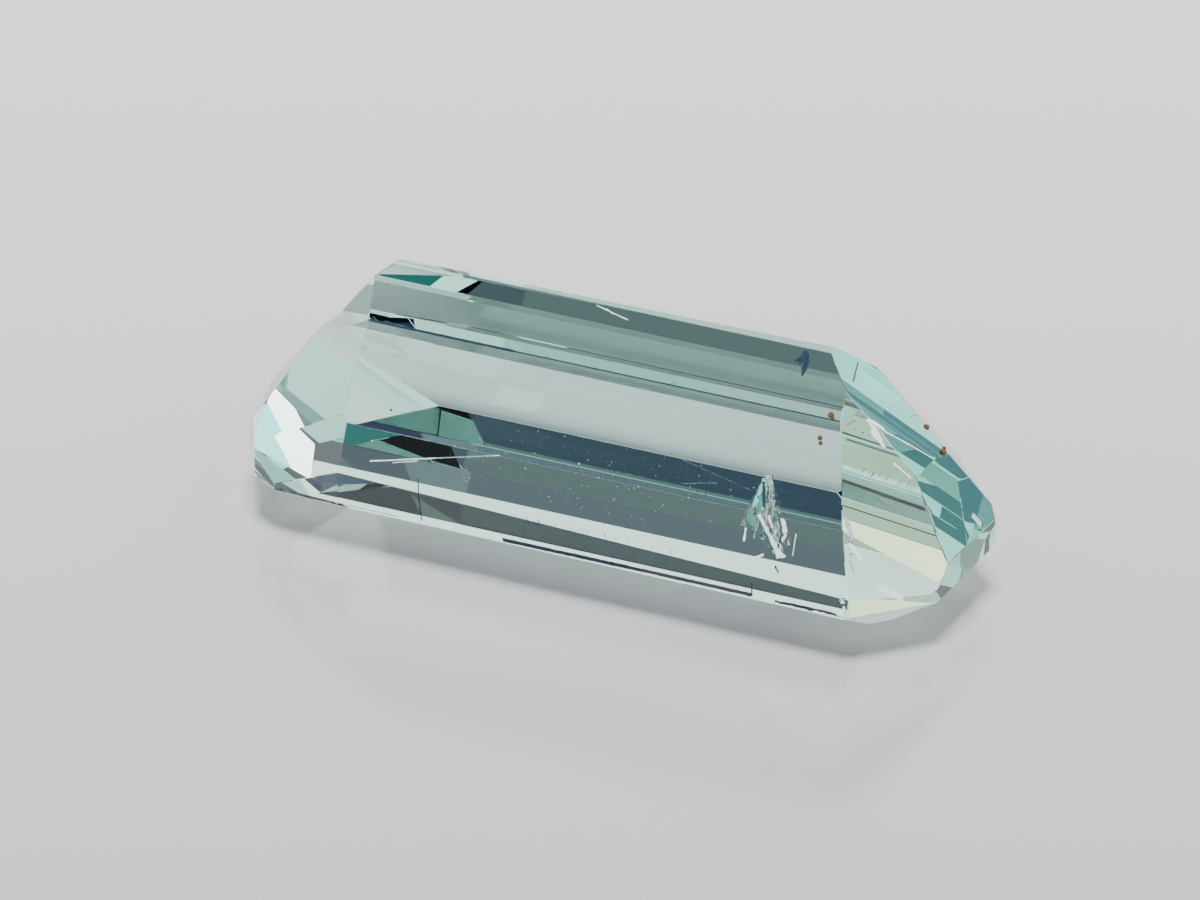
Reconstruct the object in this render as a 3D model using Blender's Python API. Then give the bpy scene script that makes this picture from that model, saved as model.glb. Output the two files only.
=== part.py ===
"""Step-cut green beryl, one transparent stone lying on its table with the keel of its pavilion up.

The stone is cut as a lapidary cuts it: a sawn block is ground back to one facet plane after another.
Lengths are in metres, +Z is up, +X runs along the stone and -Y is its front long side. While it is
cut, X and Y are counted from the middle of the keel's line; the finished stone is then centred.
"""
import math

import bmesh
import bpy
from mathutils import Vector

STONE_NAME = "cut_beryl"
COLLECTION_NAME = "green_beryl"

MM = 0.001

# The keel: a narrow flat along the top, from end to end.
KEEL_HEIGHT = 3.385
KEEL_FRONT = -0.09
KEEL_RIGHT = 3.02
KEEL_LEFT = -3.37

# The long sides give way from one step to the next at these distances from the keel's line.
UPPER_EDGE_RUN = 0.773
UPPER_EDGE_HEIGHT = 2.788
LOWER_EDGE_RUN = 1.627
LOWER_EDGE_HEIGHT = 1.664
UPPER_ANGLE = 41.1
MIDDLE_ANGLE = 52.8
LOWER_ANGLE = 65.3

# The outline of the stone at its girdle, from the right corner of the front round the right end.
OUTLINE = [
    (4.164, -1.996),
    (5.037, -1.069),
    (5.037, 0.757),
    (3.808, 1.987),
    (-4.773, 1.987),
    (-5.600, 1.160),
    (-5.253, -0.707),
    (-4.727, -1.653),
    (-4.333, -1.861),
    (-3.360, -1.912),
]
GIRDLE_FOOT = 0.595
BACK_GIRDLE_FOOT = 0.545

# The crown under the girdle is cut unevenly: a narrow lip and a shallow step at the front, one step
# at each end, and a steep step at the back.
LIP_ANGLE = 62.0
LIP_FOOT = 0.545
FRONT_CROWN_ANGLE = 28.8
RIGHT_CROWN_ANGLE = 36.0
LEFT_CROWN_ANGLE = 25.5
BACK_CROWN_ANGLE = 79.0

FRONT, BACK = -90.0, 90.0
SIDE_SPREAD = 30.0
BLOCK_SIZE = 14.0
WELD_DISTANCE = 1e-4


def facet(azimuth, angle, x, y, z):
    """Plane through a point, facing an azimuth and tilted by its angle from lying level."""
    heading = math.radians(azimuth)
    slope = math.radians(angle)
    level = math.sin(slope)
    normal = Vector((level * math.cos(heading), level * math.sin(heading), math.cos(slope)))
    return Vector((x, y, z)), normal


def long_sides():
    """The keel and the three steps of the front and of the back."""
    return [
        facet(0.0, 0.0, 0.0, 0.0, KEEL_HEIGHT),
        facet(FRONT, UPPER_ANGLE, 0.0, KEEL_FRONT, KEEL_HEIGHT),
        facet(FRONT, MIDDLE_ANGLE, 0.0, -UPPER_EDGE_RUN, UPPER_EDGE_HEIGHT),
        facet(FRONT, LOWER_ANGLE, 0.0, -LOWER_EDGE_RUN, LOWER_EDGE_HEIGHT),
        facet(BACK + 1.0, UPPER_ANGLE, KEEL_RIGHT, -KEEL_FRONT, KEEL_HEIGHT),
        facet(BACK, MIDDLE_ANGLE, 0.0, UPPER_EDGE_RUN, UPPER_EDGE_HEIGHT),
        facet(BACK, LOWER_ANGLE, 0.0, LOWER_EDGE_RUN, LOWER_EDGE_HEIGHT),
    ]


def right_end():
    """The steps of the right end, then those of the two corners beside it."""
    return [
        facet(9.1, 44.7, KEEL_RIGHT, KEEL_FRONT, KEEL_HEIGHT),
        facet(1.2, 48.8, 4.40, 0.0, 1.987),
        facet(1.2, 57.0, 4.40, 0.0, 1.987),
        facet(-34.1, 49.0, 3.48, -UPPER_EDGE_RUN, UPPER_EDGE_HEIGHT),
        facet(-32.6, 53.9, 3.48, -UPPER_EDGE_RUN, UPPER_EDGE_HEIGHT),
        facet(-40.0, 61.5, 3.907, -LOWER_EDGE_RUN, LOWER_EDGE_HEIGHT),
        facet(48.0, 47.0, 3.373, UPPER_EDGE_RUN, UPPER_EDGE_HEIGHT),
        facet(42.0, 53.5, 3.373, UPPER_EDGE_RUN, UPPER_EDGE_HEIGHT),
        facet(45.0, 62.0, 3.827, LOWER_EDGE_RUN, LOWER_EDGE_HEIGHT),
    ]


def left_end():
    """The steps of the left end, which is cut askew, then those of its corners."""
    return [
        facet(-175.0, 34.8, KEEL_LEFT, -0.107, 3.371),
        facet(-170.0, 50.5, -3.584, -0.277, 3.221),
        facet(-168.8, 56.0, -5.253, -0.707, 0.933),
        facet(-117.0, 48.7, -3.453, -UPPER_EDGE_RUN, UPPER_EDGE_HEIGHT),
        facet(-111.5, 54.8, -3.453, -UPPER_EDGE_RUN, UPPER_EDGE_HEIGHT),
        facet(-103.5, 65.9, -3.360, -LOWER_EDGE_RUN, LOWER_EDGE_HEIGHT),
        facet(-145.0, 62.0, -4.727, -1.653, 1.067),
        facet(149.6, 47.7, -3.340, -KEEL_FRONT, KEEL_HEIGHT),
        facet(159.6, 49.6, -3.570, UPPER_EDGE_RUN, UPPER_EDGE_HEIGHT),
        facet(152.2, 62.3, -5.190, 1.570, 0.840),
    ]


def girdle_and_crown():
    """The upright girdle along the outline and the crown that follows it down to the table."""
    facets = []
    for start, end in zip(OUTLINE, OUTLINE[1:] + OUTLINE[:1]):
        heading = math.atan2(start[0] - end[0], end[1] - start[1])
        azimuth = math.degrees(heading)
        foot, angle = GIRDLE_FOOT, RIGHT_CROWN_ANGLE if abs(azimuth) < BACK else LEFT_CROWN_ANGLE
        if abs(azimuth - BACK) < SIDE_SPREAD:
            foot, angle = BACK_GIRDLE_FOOT, BACK_CROWN_ANGLE
        facets.append(facet(azimuth, 90.0, *start, foot))
        if abs(azimuth - FRONT) < SIDE_SPREAD:
            inset = (GIRDLE_FOOT - LIP_FOOT) / math.tan(math.radians(LIP_ANGLE))
            facets.append(facet(azimuth, 180.0 - LIP_ANGLE, *start, foot))
            start = (start[0] - inset * math.cos(heading), start[1] - inset * math.sin(heading))
            foot, angle = LIP_FOOT, FRONT_CROWN_ANGLE
        facets.append(facet(azimuth, 180.0 - angle, *start, foot))
    return facets


def grind(mesh, point, normal):
    """Cut away what lies outside one plane and close the flat that it leaves."""
    geometry = mesh.verts[:] + mesh.edges[:] + mesh.faces[:]
    result = bmesh.ops.bisect_plane(
        mesh, geom=geometry, dist=WELD_DISTANCE, plane_co=point, plane_no=normal, clear_outer=True)
    rim = [item for item in result["geom_cut"] if isinstance(item, bmesh.types.BMEdge)]
    if len(rim) > 2:
        bmesh.ops.contextual_create(mesh, geom=rim)
    bmesh.ops.remove_doubles(mesh, verts=mesh.verts[:], dist=WELD_DISTANCE)


def cut_stone():
    """Grind a block back to every facet and to the table, and set it on its table."""
    mesh = bmesh.new()
    bmesh.ops.create_cube(mesh, size=BLOCK_SIZE)
    grind(mesh, *facet(0.0, 180.0, 0.0, 0.0, 0.0))
    for plane in girdle_and_crown() + long_sides() + right_end() + left_end():
        grind(mesh, *plane)
    bmesh.ops.recalc_face_normals(mesh, faces=mesh.faces[:])
    return mesh


def centre_and_scale(mesh):
    """Put the middle of the stone's length and width over the origin, and turn mm into metres."""
    middle = []
    for axis in (0, 1):
        reach = [vertex.co[axis] for vertex in mesh.verts]
        middle.append((min(reach) + max(reach)) / 2.0)
    bmesh.ops.translate(mesh, verts=mesh.verts[:], vec=(-middle[0], -middle[1], 0.0))
    bmesh.ops.scale(mesh, verts=mesh.verts[:], vec=(MM, MM, MM))


def beryl_material():
    """Clear, pale blue-green beryl."""
    material = bpy.data.materials.new("beryl")
    material.use_nodes = True
    shader = material.node_tree.nodes["Principled BSDF"]
    shader.inputs["Base Color"].default_value = (0.62, 0.86, 0.82, 1.0)
    shader.inputs["Roughness"].default_value = 0.02
    shader.inputs["Metallic"].default_value = 0.0
    shader.inputs["IOR"].default_value = 1.577
    shader.inputs["Transmission Weight"].default_value = 1.0
    return material


def main():
    for existing in list(bpy.data.objects):
        bpy.data.objects.remove(existing, do_unlink=True)
    collection = bpy.data.collections.new(COLLECTION_NAME)
    bpy.context.scene.collection.children.link(collection)

    stone = cut_stone()
    centre_and_scale(stone)
    mesh = bpy.data.meshes.new(STONE_NAME)
    stone.to_mesh(mesh)
    stone.free()
    mesh.materials.append(beryl_material())
    collection.objects.link(bpy.data.objects.new(STONE_NAME, mesh))


main()
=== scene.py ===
import math
import random

import bpy
from bpy.props import FloatProperty, IntProperty, PointerProperty
from mathutils import Matrix, Vector


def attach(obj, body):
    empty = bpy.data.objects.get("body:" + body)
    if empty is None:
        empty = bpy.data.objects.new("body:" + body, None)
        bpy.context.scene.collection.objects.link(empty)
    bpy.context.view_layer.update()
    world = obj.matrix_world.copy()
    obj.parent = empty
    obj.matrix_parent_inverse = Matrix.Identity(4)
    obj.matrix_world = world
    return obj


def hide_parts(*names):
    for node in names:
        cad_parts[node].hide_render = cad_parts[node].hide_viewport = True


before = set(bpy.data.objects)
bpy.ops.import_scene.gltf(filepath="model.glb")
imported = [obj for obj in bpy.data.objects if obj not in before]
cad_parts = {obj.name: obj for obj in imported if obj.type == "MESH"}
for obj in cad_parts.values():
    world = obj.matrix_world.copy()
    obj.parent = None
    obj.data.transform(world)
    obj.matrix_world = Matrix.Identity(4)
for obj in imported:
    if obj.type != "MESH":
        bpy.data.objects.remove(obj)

bl_info = {
    "name": "Green Beryl",
    "version": (1, 0, 0),
    "blender": (4, 5, 0),
    "location": "View3D > Sidebar > Beryl",
    "description": "Cuts a pale green beryl and lays it on a studio table",
    "category": "Add Mesh",
}

NODE = "cut_beryl"
BODY = "root"
MM = 0.001

# Polished stone touches a table only here and there, so a film of air lies between them.
AIR_GAP = 0.02

# The stone is cut in millimetres about the middle of its keel's line, and then set over the origin.
STONE_CENTRE = (-0.2511, -0.0045)

BLOCK_SIZE = 14.0

# In mm: how close to a cut a point counts as on it, how close doubles are merged, and the length of
# the slivers that the worn edges leave, which are merged too.
CUT_THRESHOLD = 1e-5
WELD_DISTANCE = 1e-4
SLIVER = 0.001

KEEL_HEIGHT = 3.385
KEEL_FRONT = -0.09
KEEL_RIGHT = 3.02
KEEL_LEFT = -3.37
UPPER_EDGE_RUN = 0.773
UPPER_EDGE_HEIGHT = 2.788
LOWER_EDGE_RUN = 1.627
LOWER_EDGE_HEIGHT = 1.664
GIRDLE_FOOT = 0.595
BACK_GIRDLE_FOOT = 0.545
LIP_ANGLE = 62.0
LIP_FOOT = 0.545
OUTLINE = (
    (4.164, -1.996),
    (5.037, -1.069),
    (5.037, 0.757),
    (3.808, 1.987),
    (-4.773, 1.987),
    (-5.600, 1.160),
    (-5.253, -0.707),
    (-4.727, -1.653),
    (-4.333, -1.861),
    (-3.360, -1.912),
)
FRONT, BACK = -90.0, 90.0
SIDE_SPREAD = 30.0

# The table top: its side in metres, and how far, in mm, its painted shade runs from darker in front to
# paler behind, to both sides of the stone.
TABLE_SIZE = 1.6
TABLE_SHADE_SPREAD = 20.0

# The round soft box over the table: its height and its width, in metres.
SOFT_BOX_HEIGHT = 0.8
SOFT_BOX_SIZE = 0.34

# The camera looks past the middle of the keel's line by this much, in mm: to the right and up.
AIM_RIGHT = -0.3653
AIM_UP = 1.112
SENSOR_WIDTH = 36.0
NEAREST, FARTHEST = 0.01, 10.0

# Softness of the rim of the dim ceiling and of its darker middle, in degrees.
CEILING_RIM = 1.0
CEILING_DEPTH_RIM = 1.5

# Patches of the surround that the facets pick out: way round from the camera to the right, height and
# radius in degrees, softness of the rim, colour, and gain.
WALL_PATCHES = (
    ("lamp", 131.0, 34.0, 9.0, 1.5, "#fffdf6", 2.6),
    ("cream_wall", -137.5, 30.0, 7.0, 1.5, "#fff0c8", 1.25),
    ("grey_wall", -153.0, 24.0, 6.0, 1.5, "#bcc6c0", 1.0),
    ("beige_wall", -80.0, 18.0, 7.0, 3.0, "#c2bba2", 1.0),
    ("dim_corner", -50.0, 18.0, 8.0, 3.0, "#6c7478", 1.0),
    ("left_wall", -51.0, 34.0, 4.0, 1.0, "#b4bab9", 1.0),
    ("lit_ceiling", -60.0, 45.5, 4.5, 1.5, "#655f63", 1.0),
    ("green_wall", 152.0, 11.0, 11.0, 2.5, "#7fada8", 1.0),
    ("pale_green_wall", -106.0, 12.0, 10.0, 3.0, "#bdeee6", 1.0),
    ("window", 90.0, 39.0, 7.0, 1.5, "#f2f7f6", 1.0),
    ("teal_wall", 128.0, 12.0, 10.0, 2.0, "#8ce0e2", 1.6),
    ("dark_green_wall", -10.0, 4.0, 7.5, 1.5, "#2c5c5e", 1.0),
    ("dark_shelf", -175.0, 38.5, 3.5, 1.0, "#262b30", 1.0),
)

# Facets that carry marks: azimuth and angle.
MARKED_FACETS = {
    "upper": (FRONT, 41.1),
    "middle": (FRONT, 52.8),
    "lower": (FRONT, 65.3),
    "girdle": (FRONT, 90.0),
    "right_top": (9.1, 44.7),
    "right_middle": (1.2, 48.8),
    "right_low": (1.2, 57.0),
    "corner_middle": (-32.6, 53.9),
    "corner_low": (-40.0, 61.5),
}

# Scratches and bruises full of white splinters, and painted highlights along the edges of the right end and
# its corner: facet, start, end and width.
BRUISES_AND_GLINTS = (
    ("lower", (-2.927, -1.808, 1.270), (-2.010, -1.714, 1.471), 0.016),
    ("lower", (-2.050, -1.718, 1.463), (-1.100, -1.620, 1.670), 0.012),
    ("lower", (-2.600, -1.790, 1.310), (-2.250, -1.752, 1.392), 0.010),
    ("upper", (-0.400, -0.113, 3.365), (0.100, -0.196, 3.292), 0.012),
    ("upper", (-0.250, -0.124, 3.355), (-0.130, -0.170, 3.315), 0.010),
    # Painted highlights: the next eleven marks, on the right end and its front corner, stand for glints
    # along their edges.
    ("right_top", (3.760, -0.440, 2.700), (3.910, -0.320, 2.560), 0.060),
    ("right_middle", (3.924, -0.336, 2.539), (4.158, -0.061, 2.265), 0.020),
    ("right_middle", (4.158, -0.061, 2.265), (4.389, 0.190, 1.995), 0.016),
    ("corner_middle", (3.727, -0.456, 2.736), (3.951, -0.496, 2.449), 0.060),
    ("corner_middle", (3.800, -0.520, 2.600), (3.990, -0.500, 2.400), 0.040),
    ("corner_middle", (4.138, -0.530, 2.207), (4.353, -0.464, 2.007), 0.024),
    ("corner_middle", (3.872, -1.473, 1.818), (4.010, -1.560, 1.520), 0.060),
    ("corner_low", (4.010, -1.640, 1.520), (4.186, -1.612, 1.288), 0.050),
    ("corner_low", (4.060, -1.720, 1.300), (4.150, -1.760, 1.130), 0.030),
    ("corner_low", (4.447, -1.605, 0.928), (4.700, -1.440, 0.760), 0.080),
    ("right_low", (4.890, 0.330, 1.220), (4.990, 0.390, 1.070), 0.090),
    ("lower", (2.699, -1.635, 1.647), (2.987, -1.779, 1.334), 0.044),
    ("lower", (2.987, -1.779, 1.334), (3.093, -1.848, 1.184), 0.060),
    ("lower", (2.838, -1.632, 1.653), (2.916, -1.692, 1.523), 0.030),
    ("lower", (3.036, -1.632, 1.653), (3.128, -1.711, 1.481), 0.050),
    ("lower", (3.128, -1.711, 1.481), (3.098, -1.752, 1.392), 0.040),
    ("lower", (3.053, -1.795, 1.299), (3.162, -1.842, 1.197), 0.070),
    ("lower", (2.552, -1.723, 1.455), (2.559, -1.798, 1.292), 0.030),
    ("lower", (2.719, -1.888, 1.097), (2.874, -1.847, 1.186), 0.036),
    ("lower", (3.268, -1.699, 1.507), (3.277, -1.821, 1.242), 0.012),
)

# Cracks and bruised edges that swallow the light, and two long dark lines of painted shade, one along the
# edge under the step beside the keel and one along the girdle's foot: facet, start, end and width.
CRACKS_AND_SHADE_LINES = (
    # Painted shade: the dark line along the edge under the step beside the keel.
    ("upper", (-3.440, -0.773, 2.788), (-1.300, -0.773, 2.788), 0.034),
    ("upper", (-1.300, -0.773, 2.788), (3.470, -0.773, 2.788), 0.018),
    # Painted shade: the dark line along the girdle's foot, where the stone meets the table.
    ("girdle", (-0.900, -1.939, 0.618), (2.750, -1.980, 0.618), 0.054),
    ("girdle", (3.100, -1.984, 0.612), (4.000, -1.994, 0.612), 0.040),
    ("upper", (2.660, -0.124, 3.355), (2.720, -0.245, 3.250), 0.100),
    ("upper", (2.640, -0.190, 3.298), (2.690, -0.280, 3.219), 0.090),
    ("upper", (2.730, -0.210, 3.280), (2.735, -0.390, 3.123), 0.060),
    ("upper", (2.560, -0.250, 3.245), (2.660, -0.210, 3.280), 0.030),
    ("middle", (2.650, -1.378, 1.991), (2.743, -1.574, 1.733), 0.036),
    ("middle", (2.807, -1.341, 2.040), (2.932, -1.451, 1.895), 0.050),
    ("lower", (3.057, -1.896, 1.079), (3.121, -1.930, 1.005), 0.020),
    ("right_top", (3.226, 0.305, 3.122), (3.361, -0.142, 3.060), 0.020),
    ("lower", (-2.200, -1.843, 1.194), (-2.150, -1.930, 1.010), 0.016),
    ("girdle", (-2.150, -1.928, 0.950), (-2.106, -1.928, 0.620), 0.016),
    ("girdle", (2.760, -1.984, 0.800), (2.765, -1.984, 0.612), 0.018),
    ("middle", (-1.002, -1.422, 1.933), (-0.867, -1.489, 1.845), 0.008),
    ("middle", (-0.211, -1.324, 2.062), (-0.060, -1.440, 1.909), 0.007),
    ("middle", (-0.120, -1.324, 2.062), (0.040, -1.440, 1.909), 0.007),
    ("middle", (0.000, -1.340, 2.041), (0.142, -1.447, 1.900), 0.007),
    ("middle", (1.700, -1.400, 1.962), (1.780, -1.600, 1.699), 0.007),
    ("middle", (1.850, -1.430, 1.923), (1.900, -1.600, 1.699), 0.007),
)

# Painted glints where the cleavage throws blue-green light back: facet, start, end and width.
CLEAVAGE_GLINTS = (
    ("middle", (2.645, -1.360, 2.015), (2.600, -1.600, 1.698), 0.050),
    ("middle", (2.655, -1.410, 1.949), (2.680, -1.610, 1.685), 0.070),
    ("lower", (2.620, -1.640, 1.636), (2.610, -1.700, 1.505), 0.130),
)

# Stained grit in pits: place and radius.
GRIT = (
    ((3.315, -0.727, 2.829), 0.044),
    ((3.350, -0.750, 2.800), 0.030),
    ((3.255, -0.935, 2.574), 0.034),
    ((3.280, -0.975, 2.522), 0.030),
    ((4.098, 0.574, 2.228), 0.048),
    ((4.387, 0.490, 1.959), 0.042),
    ((4.370, 0.560, 1.979), 0.028),
)
SOOT = (((-2.789, -1.450, 1.897), 0.016),)

# Short strokes fray the foot of the lower front step's dark band: white ones, painted light, go up from it,
# and dark ones, painted shade, go down from a little lower; each leans back by a share of its rise.
STROKE_REACH = (-0.75, 1.65)
STROKE_HEIGHT = 1.03
STROKE_GAP = 0.02
STROKE_SCATTER = 0.015
STROKE_LEAN = 0.35
STROKE_COUNT = 44
STROKE_LENGTHS = (0.02, 0.08)
STROKE_WIDTHS = (0.002, 0.004)

# A mark is a strip of this thickness, at least so many cells long. Its rim strays by a share of its width,
# less on the long painted shade lines along the edges, and little of that stands up from the facet.
MARK_THICKNESS = 0.004
STRIP_CELLS = 3
SCRATCH_JAG = 0.45
EDGE_JAG = 0.12
LONG_LINE_LENGTH = 1.5
STANDING_SHARE = 0.08

# How far the points of a crumb of grit and of a nick stray, as a share of its radius.
CRUMB_JAG = 0.3
NICK_JAG = 0.25

# Nicked edges: both ends of the row, nicks in it and their largest radius.
NICKED_EDGES = (
    ((3.50, -0.77, 2.80), (3.83, -0.57, 2.54), 5, 0.030),
    ((3.93, -1.52, 1.75), (4.13, -1.76, 1.25), 5, 0.040),
    ((4.05, -1.99, 0.88), (4.19, -1.98, 0.60), 3, 0.050),
    ((5.02, 0.10, 0.98), (4.98, 0.50, 1.05), 3, 0.050),
    ((0.30, -1.99, 0.60), (2.20, -1.99, 0.60), 6, 0.022),
    ((-3.00, -1.99, 0.60), (-0.80, -1.99, 0.60), 5, 0.022),
    ((-2.60, -0.77, 2.79), (2.90, -0.77, 2.79), 7, 0.012),
    ((-2.60, -1.63, 1.66), (2.40, -1.63, 1.66), 9, 0.012),
    ((-3.20, -0.09, 3.385), (2.90, -0.09, 3.385), 8, 0.014),
)
# A nick's place in its share of the row, how far it strays from the edge, and its size, as shares.
NICK_PLACES = (0.2, 0.8)
NICK_STRAY = 0.4
NICK_SIZES = (0.5, 1.0)

# The cleavage spreads like a feather from its apex. Blades: foot, width, depth under the facets, roll.
FEATHER_APEX = (2.66, -1.31, 2.07)
FEATHER_ANGLE = 58.0
FEATHER_BLADES = (
    ((2.56, -1.72, 1.46), 0.17, 0.10, 24.0),
    ((2.72, -1.76, 1.36), 0.13, 0.16, -18.0),
    ((2.90, -1.79, 1.28), 0.12, 0.12, 30.0),
    ((3.02, -1.80, 1.24), 0.12, 0.18, -28.0),
    ((3.16, -1.76, 1.36), 0.10, 0.12, 12.0),
)
BLADE_CELLS = (6, 18)
BLADE_TAPER = -0.85
RIPPLE_SIZE = 0.24

# Dust: the middle and spread of its places along the stone, the heights it lies between, the radius
# of a fleck and how much a rare large one has more, and how drawn out a fleck is.
DUST_MIDDLE = 0.2
DUST_SPREAD = 1.4
DUST_HEIGHTS = (1.25, 2.15)
DUST_RADIUS = 0.003
DUST_EXTRA = 0.006
DUST_STRETCH = (1.0, 2.5)


class BerylSettings(bpy.types.PropertyGroup):
    upper_angle: FloatProperty(
        name="Upper angle", description="Tilt of the step beside the keel, in degrees", default=41.1)
    middle_angle: FloatProperty(
        name="Middle angle", description="Tilt of the middle step, in degrees", default=52.8)
    lower_angle: FloatProperty(
        name="Lower angle", description="Tilt of the step above the girdle, in degrees", default=65.3)
    front_crown: FloatProperty(
        name="Front crown", description="Tilt of the crown under the front girdle", default=28.8)
    right_crown: FloatProperty(
        name="Right crown", description="Tilt of the crown under the right end's girdle", default=36.0)
    left_crown: FloatProperty(
        name="Left crown", description="Tilt of the crown under the left end's girdle", default=25.5)
    back_crown: FloatProperty(
        name="Back crown", description="Tilt of the crown under the back girdle", default=79.0)
    edge_wear: FloatProperty(
        name="Edge wear", description="Width of the worn flat along every edge, in mm", default=0.006)


class FlawSettings(bpy.types.PropertyGroup):
    feather_gap: FloatProperty(
        name="Feather gap", description="Opening of the cleavage inside the stone, in mm", default=0.012)
    feather_ripple: FloatProperty(
        name="Feather ripple", description="Height of the ripples on the cleavage, in mm", default=0.05)
    dust_count: IntProperty(
        name="Dust", description="Number of lint and dust flecks on the front", default=170)
    seed: IntProperty(
        name="Seed", description="Start of every random draw", default=7)


class StageSettings(bpy.types.PropertyGroup):
    azimuth: FloatProperty(
        name="Azimuth", description="Way round from the front to the camera, in degrees", default=25.6)
    elevation: FloatProperty(
        name="Elevation", description="Camera's height above the table, in degrees", default=27.0)
    distance: FloatProperty(
        name="Distance", description="From the camera to the stone, in mm", default=247.73)
    lens: FloatProperty(
        name="Lens", description="Focal length on a 36 mm sensor", default=557.4)
    ceiling_spread: FloatProperty(
        name="Ceiling spread", description="Half angle of the dim ceiling, in degrees", default=54.5)
    ceiling_lean: FloatProperty(
        name="Ceiling lean", description="How far the ceiling's middle leans to the back", default=1.5)
    ceiling_depth: FloatProperty(
        name="Ceiling depth", description="Half angle of the ceiling's darker middle", default=39.5)
    band_strength: FloatProperty(
        name="Band strength", description="Radiance of the bright surround", default=2.3)
    overhead_power: FloatProperty(
        name="Overhead power", description="Power of the soft box above the table, in watts", default=13.0)


def srgb(code):
    """Linear RGBA of an sRGB hex colour."""
    channels = []
    for start in (1, 3, 5):
        value = int(code[start:start + 2], 16) / 255.0
        channels.append(value / 12.92 if value <= 0.04045 else ((value + 0.055) / 1.055) ** 2.4)
    return (*channels, 1.0)


def add_node(tree, kind, settings=None, inputs=None, links=None):
    """Add a node; settings are its attributes, inputs its values, and links (output node, output name)."""
    node = tree.nodes.new(kind)
    for name, value in (settings or {}).items():
        setattr(node, name, value)
    for name, value in (inputs or {}).items():
        node.inputs[name].default_value = value
    for name, (source, output) in (links or {}).items():
        tree.links.new(source.outputs[output], node.inputs[name])
    return node


def new_material(name):
    """An empty node material and its output node."""
    material = bpy.data.materials.new(name)
    material.use_nodes = True
    tree = material.node_tree
    tree.nodes.clear()
    return material, tree, tree.nodes.new("ShaderNodeOutputMaterial")


def mottled_material(name, light, dark, grain, **inputs):
    """A Principled material whose colour varies between two shades in patches of so many mm."""
    material, tree, output = new_material(name)
    place = add_node(tree, "ShaderNodeTexCoord")
    patches = add_node(tree, "ShaderNodeTexNoise", inputs={"Scale": 1.0 / (grain * MM)}, links={
        "Vector": (place, "Object")})
    mixed = add_node(tree, "ShaderNodeMix", {"data_type": "RGBA"}, links={"Factor": (patches, "Fac")})
    mixed.inputs["A"].default_value = srgb(dark)
    mixed.inputs["B"].default_value = srgb(light)
    surface = add_node(tree, "ShaderNodeBsdfPrincipled", links={"Base Color": (mixed, "Result")}, inputs={
        key.replace("_", " "): value for key, value in inputs.items()})
    tree.links.new(surface.outputs["BSDF"], output.inputs["Surface"])
    return material


def beryl_material():
    """Clear beryl, polished flat on every facet; the colour is a weak blue-green absorbed in its depth."""
    material, tree, output = new_material("polished_beryl")
    glass = add_node(tree, "ShaderNodeBsdfPrincipled", inputs={
        "Base Color": (1.0, 1.0, 1.0, 1.0),
        "Roughness": 0.0,
        "IOR": 1.577,
        "Transmission Weight": 1.0,
    })
    absorb = add_node(tree, "ShaderNodeVolumeAbsorption", inputs={
        "Color": srgb("#76dccb"),
        "Density": 145.0,
    })
    tree.links.new(glass.outputs["BSDF"], output.inputs["Surface"])
    tree.links.new(absorb.outputs["Volume"], output.inputs["Volume"])
    return material


def bruise_and_highlight_material():
    """Crushed beryl along a scratch, a white powder of tiny splinters; on the right end's edges and in the
    white strokes it is painted highlight.
    """
    return mottled_material("crushed_beryl_and_painted_highlight", "#f4fbfb", "#c9dfe2", 0.02, Roughness=0.5)


def crack_and_shade_material():
    """The mouth of a crack, where the light that enters is lost, and painted shade on two long edge lines
    and in the dark strokes: dark blue-grey, with little gloss.
    """
    return mottled_material(
        "open_crack_and_painted_shade", "#2c4150", "#13212c", 0.05, Roughness=0.5, Specular_IOR_Level=0.2)


def cleavage_glint_material():
    """Painted glint of the cleavage: the blue-green light it throws back, laid on strips on the front."""
    return mottled_material("painted_cleavage_glint", "#8fe0d2", "#2f8f88", 0.06, Roughness=0.2)


def grain_material():
    """Rust-stained grit caught in pits: matt, in browns from ochre to umber."""
    return mottled_material("rusty_grit", "#75542c", "#3c2e1e", 0.03, Roughness=0.7)


def soot_material():
    """A crumb of soot: matt black."""
    return mottled_material("soot", "#232529", "#101113", 0.01, Roughness=0.9)


def lint_material():
    """Household dust: pale matt flecks."""
    return mottled_material("pale_dust", "#a2acb2", "#848e94", 0.05, Roughness=0.8)


def table_material(stage):
    """A pale satin table top, smooth enough to mirror what stands close to it, with painted shade: darker
    to the front and paler to the back, as if lit from behind.
    """
    material, tree, output = new_material("satin_table_top")
    around = math.radians(stage.azimuth)
    place = add_node(tree, "ShaderNodeTexCoord")
    # Painted shade: the top is darker towards the camera and paler away from it.
    depth = add_node(tree, "ShaderNodeVectorMath", {"operation": "DOT_PRODUCT"}, links={
        "Vector": (place, "Object")})
    depth.inputs[1].default_value = (-math.sin(around), math.cos(around), 0.0)
    painted_shade_ramp = add_node(tree, "ShaderNodeMapRange", links={"Value": (depth, "Value")}, inputs={
        "From Min": -TABLE_SHADE_SPREAD * MM,
        "From Max": TABLE_SHADE_SPREAD * MM,
    })
    shade = add_node(tree, "ShaderNodeMix", {"data_type": "RGBA"}, links={"Factor": (painted_shade_ramp, "Result")})
    shade.inputs["A"].default_value = srgb("#909096")
    shade.inputs["B"].default_value = srgb("#cbc7c9")
    surface = add_node(tree, "ShaderNodeBsdfPrincipled", links={"Base Color": (shade, "Result")}, inputs={
        "Roughness": 0.14,
        "IOR": 1.45,
    })
    tree.links.new(surface.outputs["BSDF"], output.inputs["Surface"])
    return material


def facet(azimuth, angle, x, y, z):
    """Point and normal of a plane that faces an azimuth, tilted by its angle from lying level."""
    heading = math.radians(azimuth)
    slope = math.radians(angle)
    level = math.sin(slope)
    return (x, y, z), (level * math.cos(heading), level * math.sin(heading), math.cos(slope))


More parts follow.
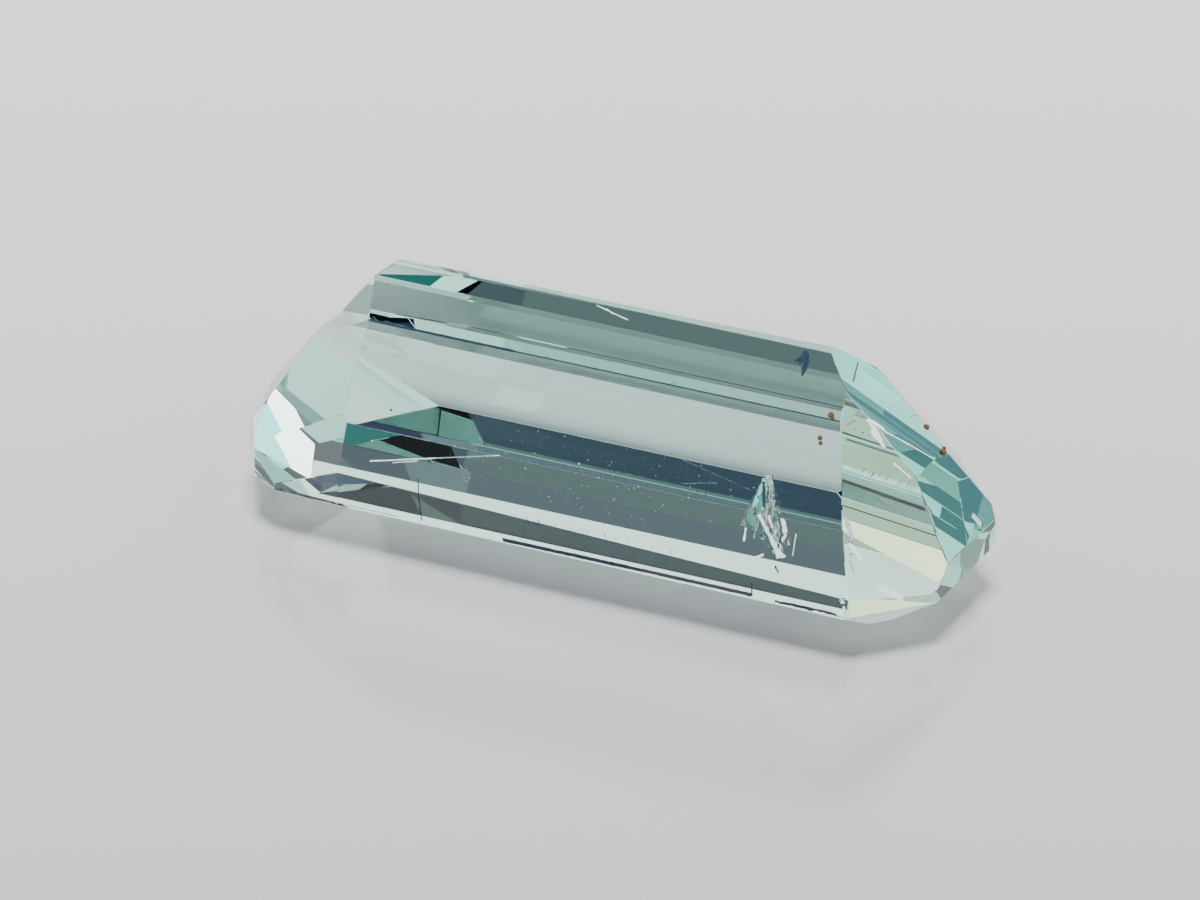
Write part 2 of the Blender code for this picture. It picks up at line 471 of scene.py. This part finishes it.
def long_side_facets(cut):
    """The keel and the three steps of the front and of the back."""
    return [
        facet(0.0, 0.0, 0.0, 0.0, KEEL_HEIGHT),
        facet(FRONT, cut.upper_angle, 0.0, KEEL_FRONT, KEEL_HEIGHT),
        facet(FRONT, cut.middle_angle, 0.0, -UPPER_EDGE_RUN, UPPER_EDGE_HEIGHT),
        facet(FRONT, cut.lower_angle, 0.0, -LOWER_EDGE_RUN, LOWER_EDGE_HEIGHT),
        facet(BACK + 1.0, cut.upper_angle, KEEL_RIGHT, -KEEL_FRONT, KEEL_HEIGHT),
        facet(BACK, cut.middle_angle, 0.0, UPPER_EDGE_RUN, UPPER_EDGE_HEIGHT),
        facet(BACK, cut.lower_angle, 0.0, LOWER_EDGE_RUN, LOWER_EDGE_HEIGHT),
    ]


def right_end_facets():
    """The steps of the right end, then those of the two corners beside it."""
    return [
        facet(9.1, 44.7, KEEL_RIGHT, KEEL_FRONT, KEEL_HEIGHT),
        facet(1.2, 48.8, 4.40, 0.0, 1.987),
        facet(1.2, 57.0, 4.40, 0.0, 1.987),
        facet(-34.1, 49.0, 3.48, -UPPER_EDGE_RUN, UPPER_EDGE_HEIGHT),
        facet(-32.6, 53.9, 3.48, -UPPER_EDGE_RUN, UPPER_EDGE_HEIGHT),
        facet(-40.0, 61.5, 3.907, -LOWER_EDGE_RUN, LOWER_EDGE_HEIGHT),
        facet(48.0, 47.0, 3.373, UPPER_EDGE_RUN, UPPER_EDGE_HEIGHT),
        facet(42.0, 53.5, 3.373, UPPER_EDGE_RUN, UPPER_EDGE_HEIGHT),
        facet(45.0, 62.0, 3.827, LOWER_EDGE_RUN, LOWER_EDGE_HEIGHT),
    ]


def left_end_facets():
    """The steps of the left end, which is cut askew, then those of its corners."""
    return [
        facet(-175.0, 34.8, KEEL_LEFT, -0.107, 3.371),
        facet(-170.0, 50.5, -3.584, -0.277, 3.221),
        facet(-168.8, 56.0, -5.253, -0.707, 0.933),
        facet(-117.0, 48.7, -3.453, -UPPER_EDGE_RUN, UPPER_EDGE_HEIGHT),
        facet(-111.5, 54.8, -3.453, -UPPER_EDGE_RUN, UPPER_EDGE_HEIGHT),
        facet(-103.5, 65.9, -3.360, -LOWER_EDGE_RUN, LOWER_EDGE_HEIGHT),
        facet(-145.0, 62.0, -4.727, -1.653, 1.067),
        facet(149.6, 47.7, -3.340, -KEEL_FRONT, KEEL_HEIGHT),
        facet(159.6, 49.6, -3.570, UPPER_EDGE_RUN, UPPER_EDGE_HEIGHT),
        facet(152.2, 62.3, -5.190, 1.570, 0.840),
    ]


def girdle_and_crown_facets(cut):
    """The upright girdle along the outline and the crown that follows it down to the table."""
    facets = []
    for start, end in zip(OUTLINE, OUTLINE[1:] + OUTLINE[:1]):
        heading = math.atan2(start[0] - end[0], end[1] - start[1])
        azimuth = math.degrees(heading)
        foot, angle = GIRDLE_FOOT, cut.right_crown if abs(azimuth) < BACK else cut.left_crown
        if abs(azimuth - BACK) < SIDE_SPREAD:
            foot, angle = BACK_GIRDLE_FOOT, cut.back_crown
        facets.append(facet(azimuth, 90.0, *start, foot))
        if abs(azimuth - FRONT) < SIDE_SPREAD:
            inset = (GIRDLE_FOOT - LIP_FOOT) / math.tan(math.radians(LIP_ANGLE))
            facets.append(facet(azimuth, 180.0 - LIP_ANGLE, *start, foot))
            start = (start[0] - inset * math.cos(heading), start[1] - inset * math.sin(heading))
            foot, angle = LIP_FOOT, cut.front_crown
        facets.append(facet(azimuth, 180.0 - angle, *start, foot))
    return facets


def deselect():
    """Deselect every object."""
    bpy.ops.object.select_all(action="DESELECT")


def pick(objects):
    """Select these objects alone, the first of them active."""
    deselect()
    for item in objects:
        item.select_set(True)
    bpy.context.view_layer.objects.active = objects[0]


def join(objects, name):
    """Join objects, each with its place applied, into the first of them and name it."""
    pick(objects)
    bpy.ops.object.transform_apply(location=True, rotation=True, scale=True)
    if len(objects) > 1:
        bpy.ops.object.join()
    objects[0].name = name
    return objects[0]


def frame_on(normal, along):
    """Rotation that turns local Z to a normal and local Y along a direction, as near as it can."""
    z_axis = Vector(normal).normalized()
    x_axis = Vector(along).cross(z_axis).normalized()
    y_axis = z_axis.cross(x_axis)
    return Matrix((x_axis, y_axis, z_axis)).transposed().to_4x4()


def finish_piece(piece, material):
    """Set a piece that was made in the stone's millimetres over the origin, in metres, on its body."""
    pick([piece])
    piece.matrix_world = Matrix.Scale(MM, 4) @ Matrix.Translation((-STONE_CENTRE[0], -STONE_CENTRE[1], 0.0))
    bpy.ops.object.transform_apply(location=True, rotation=True, scale=True)
    piece.data.materials.clear()
    piece.data.materials.append(material)
    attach(piece, BODY)


def ragged_strip(face, start, end, width, seed):
    """A thin strip with ragged edges, laid along a facet from one point to another."""
    start, end = Vector(start), Vector(end)
    length = (end - start).length
    deselect()
    bpy.ops.mesh.primitive_grid_add(
        x_subdivisions=2, y_subdivisions=max(STRIP_CELLS, round(length / width)), size=1.0)
    strip = bpy.context.object
    strip.scale = (width, length, 1.0)
    bpy.ops.object.transform_apply(location=False, rotation=False, scale=True)
    bpy.ops.object.mode_set(mode="EDIT")
    bpy.ops.mesh.select_all(action="SELECT")
    jag = SCRATCH_JAG if length < LONG_LINE_LENGTH else EDGE_JAG
    bpy.ops.transform.vertex_random(offset=width * jag, seed=seed)
    bpy.ops.transform.resize(value=(1.0, 1.0, STANDING_SHARE))
    bpy.ops.object.mode_set(mode="OBJECT")
    body = strip.modifiers.new("thickness", "SOLIDIFY")
    body.thickness = MARK_THICKNESS
    body.offset = 0.0
    bpy.ops.object.modifier_apply(modifier=body.name)
    normal = facet(*MARKED_FACETS[face], 0.0, 0.0, 0.0)[1]
    strip.matrix_world = Matrix.Translation((start + end) / 2.0) @ frame_on(normal, end - start)
    return strip


def crumb(place, radius, seed):
    """A rough little lump, half sunk where it sits."""
    deselect()
    bpy.ops.mesh.primitive_ico_sphere_add(subdivisions=2, radius=radius, location=place)
    lump = bpy.context.object
    bpy.ops.object.mode_set(mode="EDIT")
    bpy.ops.mesh.select_all(action="SELECT")
    bpy.ops.transform.vertex_random(offset=radius * CRUMB_JAG, seed=seed)
    bpy.ops.object.mode_set(mode="OBJECT")
    return lump


def on_front(face, edge_height, edge_run, along, height):
    """Point of a front step at a place along the stone and a height."""
    angle = math.radians(MARKED_FACETS[face][1])
    return Vector((along, -edge_run - (edge_height - height) / math.tan(angle), height))


def band_rim_strokes(draw, upward):
    """Short parallel strokes at the foot of the dark band: painted light going up from it or painted shade
    going down from it.
    """
    strokes = []
    for number in range(STROKE_COUNT):
        along = draw.uniform(*STROKE_REACH)
        foot = STROKE_HEIGHT + (0.0 if upward else -STROKE_GAP)
        foot += draw.uniform(-STROKE_SCATTER, STROKE_SCATTER)
        rise = draw.uniform(*STROKE_LENGTHS) * (1.0 if upward else -1.0)
        start = on_front("lower", LOWER_EDGE_HEIGHT, LOWER_EDGE_RUN, along, foot)
        end = on_front("lower", LOWER_EDGE_HEIGHT, LOWER_EDGE_RUN, along - rise * STROKE_LEAN, foot + rise)
        strokes.append(ragged_strip("lower", start, end, draw.uniform(*STROKE_WIDTHS), number))
    return strokes


def cut_block(cut):
    """Grind a block back to every facet and wear its edges a little."""
    deselect()
    bpy.ops.mesh.primitive_cube_add(size=BLOCK_SIZE, location=(0.0, 0.0, 0.0))
    stone = bpy.context.object
    bpy.ops.object.mode_set(mode="EDIT")
    planes = [facet(0.0, 180.0, 0.0, 0.0, 0.0)] + girdle_and_crown_facets(cut)
    planes += long_side_facets(cut) + right_end_facets() + left_end_facets()
    for point, normal in planes:
        bpy.ops.mesh.select_all(action="SELECT")
        bpy.ops.mesh.bisect(
            plane_co=point, plane_no=normal, use_fill=True, clear_outer=True, threshold=CUT_THRESHOLD)
    bpy.ops.mesh.select_all(action="SELECT")
    bpy.ops.mesh.remove_doubles(threshold=WELD_DISTANCE)
    bpy.ops.mesh.normals_make_consistent(inside=False)
    if cut.edge_wear > 0.0:
        bpy.ops.mesh.bevel(offset=cut.edge_wear, segments=1, affect="EDGES")
        bpy.ops.mesh.select_all(action="SELECT")
        bpy.ops.mesh.remove_doubles(threshold=SLIVER)
    bpy.ops.object.mode_set(mode="OBJECT")
    return stone


def carve(stone, tool):
    """Take closed shapes, joined in one tool, out of the stone."""
    pick([tool])
    bpy.ops.object.mode_set(mode="EDIT")
    bpy.ops.mesh.select_all(action="SELECT")
    bpy.ops.mesh.normals_make_consistent(inside=False)
    bpy.ops.object.mode_set(mode="OBJECT")
    pick([stone])
    cutter = stone.modifiers.new("carve", "BOOLEAN")
    cutter.operation = "DIFFERENCE"
    cutter.solver = "EXACT"
    cutter.use_self = True
    cutter.object = tool
    bpy.ops.object.modifier_apply(modifier=cutter.name)
    bpy.data.objects.remove(tool, do_unlink=True)


def cleavage_blade(apex, base, width, depth, roll, ripple, gap):
    """A thin rippled opening inside the stone, which narrows to its apex under the front steps."""
    apex, base = Vector(apex), Vector(base)
    normal = Vector(facet(FRONT, FEATHER_ANGLE, 0.0, 0.0, 0.0)[1])
    length = (apex - base).length
    deselect()
    across, lengthwise = BLADE_CELLS
    bpy.ops.mesh.primitive_grid_add(x_subdivisions=across, y_subdivisions=lengthwise, size=1.0)
    blade = bpy.context.object
    blade.scale = (width, length, 1.0)
    bpy.ops.object.transform_apply(location=False, rotation=False, scale=True)
    taper = blade.modifiers.new("taper", "SIMPLE_DEFORM")
    taper.deform_method = "TAPER"
    taper.deform_axis = "Y"
    taper.factor = BLADE_TAPER
    bpy.ops.object.modifier_apply(modifier=taper.name)
    pattern = bpy.data.textures.new("ripple", "CLOUDS")
    pattern.noise_scale = RIPPLE_SIZE
    shake = blade.modifiers.new("ripple", "DISPLACE")
    shake.texture = pattern
    shake.texture_coords = "GLOBAL"
    shake.strength = ripple
    blade.matrix_world = (
        Matrix.Translation((apex + base) / 2.0 - normal * depth)
        @ frame_on(normal, apex - base) @ Matrix.Rotation(math.radians(roll), 4, "Y"))
    bpy.ops.object.modifier_apply(modifier=shake.name)
    opening = blade.modifiers.new("gap", "SOLIDIFY")
    opening.thickness = gap
    bpy.ops.object.modifier_apply(modifier=opening.name)
    return blade


def feather_blades(flaws):
    """The blades of the cleavage that a knock on the front opened, spread like a feather."""
    blades = []
    for base, width, depth, roll in FEATHER_BLADES:
        blades.append(cleavage_blade(
            FEATHER_APEX, base, width, depth, roll, flaws.feather_ripple, flaws.feather_gap))
    return blades


def nick(place, size, seed):
    """A rough splinter shape to take out of an edge."""
    deselect()
    bpy.ops.mesh.primitive_ico_sphere_add(subdivisions=2, radius=size, location=place)
    splinter = bpy.context.object
    bpy.ops.object.transform_apply(location=True, rotation=False, scale=False)
    bpy.ops.object.mode_set(mode="EDIT")
    bpy.ops.mesh.select_all(action="SELECT")
    bpy.ops.transform.vertex_random(offset=size * NICK_JAG, seed=seed)
    bpy.ops.object.mode_set(mode="OBJECT")
    return splinter


def edge_nicks(flaws):
    """Nicks strewn along the worn edges."""
    draw = random.Random(flaws.seed)
    nicks = []
    for start, end, count, size in NICKED_EDGES:
        start, end = Vector(start), Vector(end)
        for number in range(count):
            place = start.lerp(end, (number + draw.uniform(*NICK_PLACES)) / count)
            place += Vector((draw.uniform(-size, size), draw.uniform(-size, size), 0.0)) * NICK_STRAY
            nicks.append(nick(place, size * draw.uniform(*NICK_SIZES), draw.randrange(1000)))
    return nicks


def dust_flecks(flaws):
    """Dust on the middle and lower front steps, thickest round the middle of the stone."""
    draw = random.Random(flaws.seed)
    deselect()
    bpy.ops.mesh.primitive_ico_sphere_add(subdivisions=1, radius=1.0)
    fleck = bpy.context.object
    flecks = []
    for _ in range(flaws.dust_count):
        along = draw.gauss(DUST_MIDDLE, DUST_SPREAD)
        height = draw.uniform(*DUST_HEIGHTS)
        if height > LOWER_EDGE_HEIGHT:
            place = on_front("middle", UPPER_EDGE_HEIGHT, UPPER_EDGE_RUN, along, height)
        else:
            place = on_front("lower", LOWER_EDGE_HEIGHT, LOWER_EDGE_RUN, along, height)
        size = DUST_RADIUS + DUST_EXTRA * draw.random() ** 3
        copy = fleck.copy()
        copy.data = fleck.data.copy()
        bpy.context.collection.objects.link(copy)
        copy.matrix_world = (
            Matrix.Translation(place)
            @ Matrix.Rotation(draw.uniform(0.0, math.pi), 4, "Y")
            @ Matrix.Diagonal((size * draw.uniform(*DUST_STRETCH), size, size, 1.0)))
        flecks.append(copy)
    bpy.data.objects.remove(fleck, do_unlink=True)
    return flecks


class BERYL_OT_cut_stone(bpy.types.Operator):
    """Grind the beryl from a block, open the cleavage inside it and nick its edges"""

    bl_idname = "beryl.cut_stone"
    bl_label = "Cut stone"

    def execute(self, context):
        flaws = context.scene.beryl_flaws
        stone = cut_block(context.scene.beryl_cut)
        carve(stone, join(feather_blades(flaws) + edge_nicks(flaws), "openings"))
        stone.name = "beryl"
        finish_piece(stone, beryl_material())
        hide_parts(NODE)
        return {"FINISHED"}


class BERYL_OT_bruise_stone(bpy.types.Operator):
    """Lay the white splinter marks with painted highlights, the dark crack marks with painted shade, and
    the cleavage's painted glints on the stone
    """

    bl_idname = "beryl.bruise_stone"
    bl_label = "Bruise stone"

    def execute(self, context):
        draw = random.Random(context.scene.beryl_flaws.seed)
        white = [ragged_strip(*mark, number) for number, mark in enumerate(BRUISES_AND_GLINTS)]
        white += band_rim_strokes(draw, True)
        finish_piece(join(white, "white_scratches_and_painted_light"), bruise_and_highlight_material())
        dark = [ragged_strip(*mark, number) for number, mark in enumerate(CRACKS_AND_SHADE_LINES)]
        dark += band_rim_strokes(draw, False)
        finish_piece(join(dark, "cracks_and_painted_shade"), crack_and_shade_material())
        glint_strips = [ragged_strip(*mark, number) for number, mark in enumerate(CLEAVAGE_GLINTS)]
        finish_piece(join(glint_strips, "cleavage_glints"), cleavage_glint_material())
        return {"FINISHED"}


class BERYL_OT_soil_stone(bpy.types.Operator):
    """Leave grit, soot and dust on the stone"""

    bl_idname = "beryl.soil_stone"
    bl_label = "Soil stone"

    def execute(self, context):
        flaws = context.scene.beryl_flaws
        grit = [crumb(place, radius, number) for number, (place, radius) in enumerate(GRIT)]
        finish_piece(join(grit, "grit"), grain_material())
        soot = [crumb(place, radius, number) for number, (place, radius) in enumerate(SOOT)]
        finish_piece(join(soot, "soot"), soot_material())
        finish_piece(join(dust_flecks(flaws), "dust"), lint_material())
        return {"FINISHED"}


class BERYL_OT_lay_table(bpy.types.Operator):
    """Lay the pale table top under the stone"""

    bl_idname = "beryl.lay_table"
    bl_label = "Lay table"

    def execute(self, context):
        deselect()
        bpy.ops.mesh.primitive_plane_add(size=TABLE_SIZE, location=(0.0, 0.0, -AIR_GAP * MM))
        table = context.object
        table.name = "table_top"
        table.data.materials.append(table_material(context.scene.beryl_stage))
        return {"FINISHED"}


def camera_axes(stage):
    """Directions from the stone to the camera, to the camera's right and to its top."""
    around = math.radians(stage.azimuth)
    rise = math.radians(stage.elevation)
    toward = Vector((math.sin(around) * math.cos(rise), -math.cos(around) * math.cos(rise), math.sin(rise)))
    right = Vector((math.cos(around), math.sin(around), 0.0))
    return toward, right, toward.cross(right)


def way_out(around, rise, level, rightward):
    """Direction that lies so far round from the camera to its right and so high, both in degrees."""
    around, rise = math.radians(around), math.radians(rise)
    way = (level * math.cos(around) + rightward * math.sin(around)) * math.cos(rise)
    return way + Vector((0.0, 0.0, math.sin(rise)))


def add_cap(tree, direction, middle, radius, softness):
    """A mask of a round cap of the sky: its radius and the softness of its rim are in degrees."""
    nearness = add_node(tree, "ShaderNodeVectorMath", {"operation": "DOT_PRODUCT"}, links={
        "Vector": (direction, "Generated")})
    nearness.inputs[1].default_value = middle
    return add_node(tree, "ShaderNodeMapRange", links={"Value": (nearness, "Value")}, inputs={
        "From Min": math.cos(math.radians(radius + softness)),
        "From Max": math.cos(math.radians(radius - softness)),
    })


def light_room(scene, stage, level, rightward):
    """A bright surround under a dim ceiling that is darker in the middle, and the walls' patches."""
    world = bpy.data.worlds.new("soft_room")
    scene.world = world
    world.use_nodes = True
    tree = world.node_tree
    background = tree.nodes["Background"]
    background.inputs["Strength"].default_value = stage.band_strength
    direction = add_node(tree, "ShaderNodeTexCoord")
    middle = way_out(180.0, 90.0 - stage.ceiling_lean, level, rightward)
    ceiling = add_cap(tree, direction, middle, stage.ceiling_spread, CEILING_RIM)
    depth = add_cap(tree, direction, middle, stage.ceiling_depth, CEILING_DEPTH_RIM)
    shade = add_node(tree, "ShaderNodeMix", {"data_type": "RGBA"}, links={"Factor": (depth, "Result")})
    shade.inputs["A"].default_value = srgb("#4f4f57")
    shade.inputs["B"].default_value = srgb("#32354a")
    room = add_node(tree, "ShaderNodeMix", {"data_type": "RGBA"}, links={"Factor": (ceiling, "Result")})
    room.inputs["A"].default_value = srgb("#f7f5f3")
    tree.links.new(shade.outputs["Result"], room.inputs["B"])
    for name, around, rise, radius, softness, colour, gain in WALL_PATCHES:
        cap = add_cap(tree, direction, way_out(around, rise, level, rightward), radius, softness)
        patch = add_node(tree, "ShaderNodeMix", {"data_type": "RGBA", "label": name}, links={
            "Factor": (cap, "Result")})
        tree.links.new(room.outputs["Result"], patch.inputs["A"])
        patch.inputs["B"].default_value = [gain * channel for channel in srgb(colour)]
        room = patch
    tree.links.new(room.outputs["Result"], background.inputs["Color"])


class BERYL_OT_set_stage(bpy.types.Operator):
    """Set the camera, the bright surround and the soft box above the table"""

    bl_idname = "beryl.set_stage"
    bl_label = "Set stage"

    def execute(self, context):
        stage = context.scene.beryl_stage
        toward, right, top = camera_axes(stage)
        aim = Vector((-STONE_CENTRE[0], -STONE_CENTRE[1], 0.0)) + AIM_RIGHT * right + AIM_UP * top
        bpy.ops.object.camera_add(location=(aim + stage.distance * toward) * MM)
        camera = context.object
        camera.rotation_euler = toward.to_track_quat("Z", "Y").to_euler()
        camera.data.lens = stage.lens
        camera.data.sensor_width = SENSOR_WIDTH
        camera.data.clip_start = NEAREST
        camera.data.clip_end = FARTHEST
        context.scene.camera = camera

        level = Vector((toward.x, toward.y, 0.0)).normalized()
        light_room(context.scene, stage, level, right)
        bpy.ops.object.light_add(type="AREA", location=(0.0, 0.0, SOFT_BOX_HEIGHT))
        box = context.object
        box.name = "overhead_soft_box"
        box.data.shape = "DISK"
        box.data.size = SOFT_BOX_SIZE
        box.data.energy = stage.overhead_power
        box.visible_glossy = False
        return {"FINISHED"}


STEPS = (
    BERYL_OT_cut_stone,
    BERYL_OT_bruise_stone,
    BERYL_OT_soil_stone,
    BERYL_OT_lay_table,
    BERYL_OT_set_stage,
)


class BERYL_PT_panel(bpy.types.Panel):
    bl_label = "Green Beryl"
    bl_idname = "BERYL_PT_panel"
    bl_space_type = "VIEW_3D"
    bl_region_type = "UI"
    bl_category = "Beryl"

    def draw(self, context):
        layout = self.layout
        scene = context.scene
        for group in (scene.beryl_cut, scene.beryl_flaws, scene.beryl_stage):
            for name in group.__annotations__:
                layout.prop(group, name)
        for step in STEPS:
            layout.operator(step.bl_idname)


CLASSES = (
    BerylSettings,
    FlawSettings,
    StageSettings,
    *STEPS,
    BERYL_PT_panel,
)


def register():
    for cls in CLASSES:
        bpy.utils.register_class(cls)
    bpy.types.Scene.beryl_cut = PointerProperty(type=BerylSettings)
    bpy.types.Scene.beryl_flaws = PointerProperty(type=FlawSettings)
    bpy.types.Scene.beryl_stage = PointerProperty(type=StageSettings)


def unregister():
    del bpy.types.Scene.beryl_stage
    del bpy.types.Scene.beryl_flaws
    del bpy.types.Scene.beryl_cut
    for cls in reversed(CLASSES):
        bpy.utils.unregister_class(cls)


def main():
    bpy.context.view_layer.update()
    register()
    bpy.ops.beryl.cut_stone()
    bpy.ops.beryl.bruise_stone()
    bpy.ops.beryl.soil_stone()
    bpy.ops.beryl.lay_table()
    bpy.ops.beryl.set_stage()


if __name__ == "__main__":
    main()
